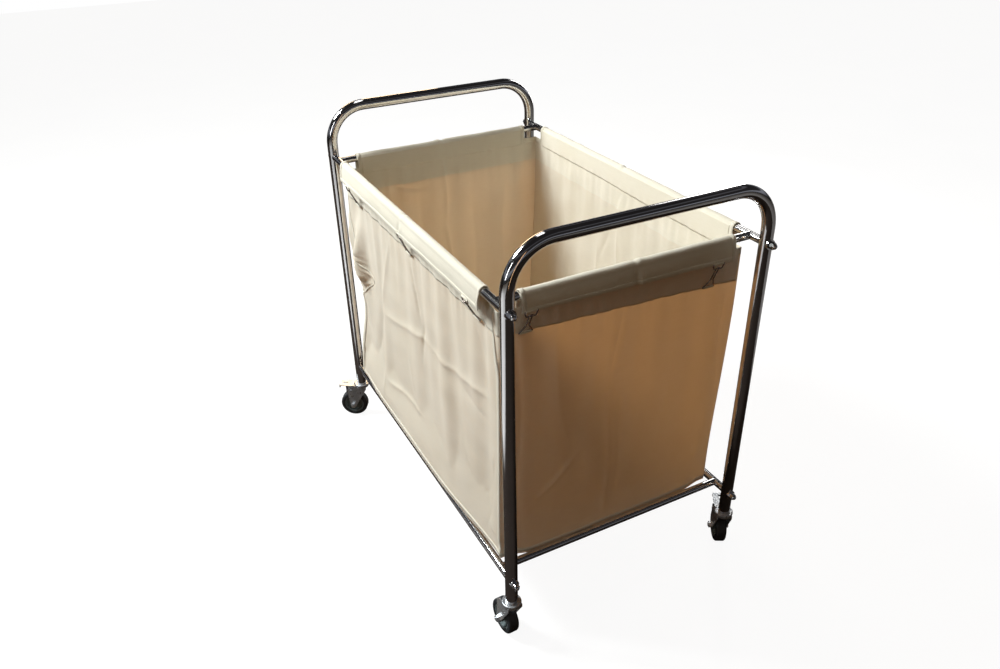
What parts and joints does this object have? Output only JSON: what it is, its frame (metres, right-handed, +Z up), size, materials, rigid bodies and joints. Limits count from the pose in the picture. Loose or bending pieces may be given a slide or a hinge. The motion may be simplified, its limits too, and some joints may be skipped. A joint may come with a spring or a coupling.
{
  "type": "laundry cart",
  "caption": "Rolling laundry cart: a canvas bag hung from a bolted stainless tube frame with a push handle at each end, on swivel casters.",
  "frame": {"origin": "on the floor, under the middle of the cart's outline", "axes": "+Z up, +Y along the cart from the front handle to the rear handle, +X to the right of a person who faces +Y"},
  "size_m": [0.6634, 0.9726, 0.8927],
  "materials": {
    "post_tube": "polished stainless tube",
    "rail_tube": "polished stainless tube",
    "bright_fastener": "bright plated",
    "zinc_steel": "bright zinc plated pressed steel",
    "clip_wire": "plated wire",
    "canvas": "undyed cotton canvas, plain weave",
    "tyre_rubber": "matt black rubber",
    "grey_plastic": "dark grey-green moulded nylon",
    "black_plastic": "black nylon"
  },
  "bodies": {
    "frame": {"end_frame_front": "post_tube", "end_frame_rear": "post_tube", "top_rail_left": "rail_tube", "top_rail_right": "rail_tube", "bottom_rail_left": "rail_tube", "bottom_rail_right": "rail_tube", "top_cross_rail_front": "rail_tube", "top_cross_rail_rear": "rail_tube", "bottom_cross_rail_front": "rail_tube", "bottom_cross_rail_rear": "rail_tube", "floor_bars": "rail_tube", "rail_plugs": "zinc_steel", "frame_studs": "zinc_steel", "saddle_washers": "bright_fastener", "acorn_nuts": "bright_fastener", "caster_sockets": "black_plastic", "caster_stems": "zinc_steel", "swivel_caps": "zinc_steel", "bag_left": "canvas", "bag_right": "canvas", "bag_front": "canvas", "bag_rear": "canvas", "bag_floor": "canvas", "flap_left": "canvas", "flap_right": "canvas", "flap_front": "canvas", "flap_rear": "canvas", "hem_rings": "clip_wire", "wire_hooks": "clip_wire", "band_rings": "clip_wire"},
    "swivel_front_left": {"fork_front_left": "zinc_steel", "axle_front_left": "zinc_steel", "axle_nut_front_left": "zinc_steel"},
    "wheel_front_left": {"hub_front_left": "grey_plastic", "tyre_front_left": "tyre_rubber"},
    "swivel_front_right": {"fork_front_right": "zinc_steel", "axle_front_right": "zinc_steel", "axle_nut_front_right": "zinc_steel", "brake_pin_front_right": "zinc_steel"},
    "wheel_front_right": {"hub_front_right": "grey_plastic", "tyre_front_right": "tyre_rubber"},
    "brake_front_right": {"brake_pedal_front_right": "zinc_steel", "brake_shoe_front_right": "black_plastic"},
    "swivel_rear_left": {"fork_rear_left": "zinc_steel", "axle_rear_left": "zinc_steel", "axle_nut_rear_left": "zinc_steel", "brake_pin_rear_left": "zinc_steel"},
    "wheel_rear_left": {"hub_rear_left": "grey_plastic", "tyre_rear_left": "tyre_rubber"},
    "brake_rear_left": {"brake_pedal_rear_left": "zinc_steel", "brake_shoe_rear_left": "black_plastic"},
    "swivel_rear_right": {"fork_rear_right": "zinc_steel", "axle_rear_right": "zinc_steel", "axle_nut_rear_right": "zinc_steel"},
    "wheel_rear_right": {"hub_rear_right": "grey_plastic", "tyre_rear_right": "tyre_rubber"}
  },
  "joints": [
    {"name": "swivel_front_left_turn", "type": "hinge", "parent": "frame", "child": "swivel_front_left", "pos_m": [-0.27166, -0.45841, 0.095], "axis": [0, 0, 1], "continuous": true},
    {"name": "wheel_front_left_spin", "type": "hinge", "parent": "swivel_front_left", "child": "wheel_front_left", "pos_m": [-0.27257, -0.43243, 0.0375], "axis": [-0.9994, -0.0349, 0], "continuous": true},
    {"name": "swivel_front_right_turn", "type": "hinge", "parent": "frame", "child": "swivel_front_right", "pos_m": [0.27334, -0.45841, 0.095], "axis": [0, 0, 1], "continuous": true},
    {"name": "wheel_front_right_spin", "type": "hinge", "parent": "swivel_front_right", "child": "wheel_front_right", "pos_m": [0.28634, -0.4359, 0.0375], "axis": [-0.866, 0.5, 0], "continuous": true},
    {"name": "brake_front_right_press", "type": "hinge", "parent": "swivel_front_right", "child": "brake_front_right", "pos_m": [0.28834, -0.43243, 0.084], "axis": [-0.866, 0.5, 0], "range_deg": [0, 13]},
    {"name": "swivel_rear_left_turn", "type": "hinge", "parent": "frame", "child": "swivel_rear_left", "pos_m": [-0.27166, 0.44159, 0.095], "axis": [0, 0, 1], "continuous": true},
    {"name": "wheel_rear_left_spin", "type": "hinge", "parent": "swivel_rear_left", "child": "wheel_rear_left", "pos_m": [-0.29371, 0.45536, 0.0375], "axis": [-0.5299, -0.848, 0], "continuous": true},
    {"name": "brake_rear_left_press", "type": "hinge", "parent": "swivel_rear_left", "child": "brake_rear_left", "pos_m": [-0.2971, 0.45748, 0.084], "axis": [-0.5299, -0.848, 0], "range_deg": [0, 13]},
    {"name": "swivel_rear_right_turn", "type": "hinge", "parent": "frame", "child": "swivel_rear_right", "pos_m": [0.27334, 0.44159, 0.095], "axis": [0, 0, 1], "continuous": true},
    {"name": "wheel_rear_right_spin", "type": "hinge", "parent": "swivel_rear_right", "child": "wheel_rear_right", "pos_m": [0.29539, 0.45536, 0.0375], "axis": [-0.5299, 0.848, 0], "continuous": true}
  ]
}
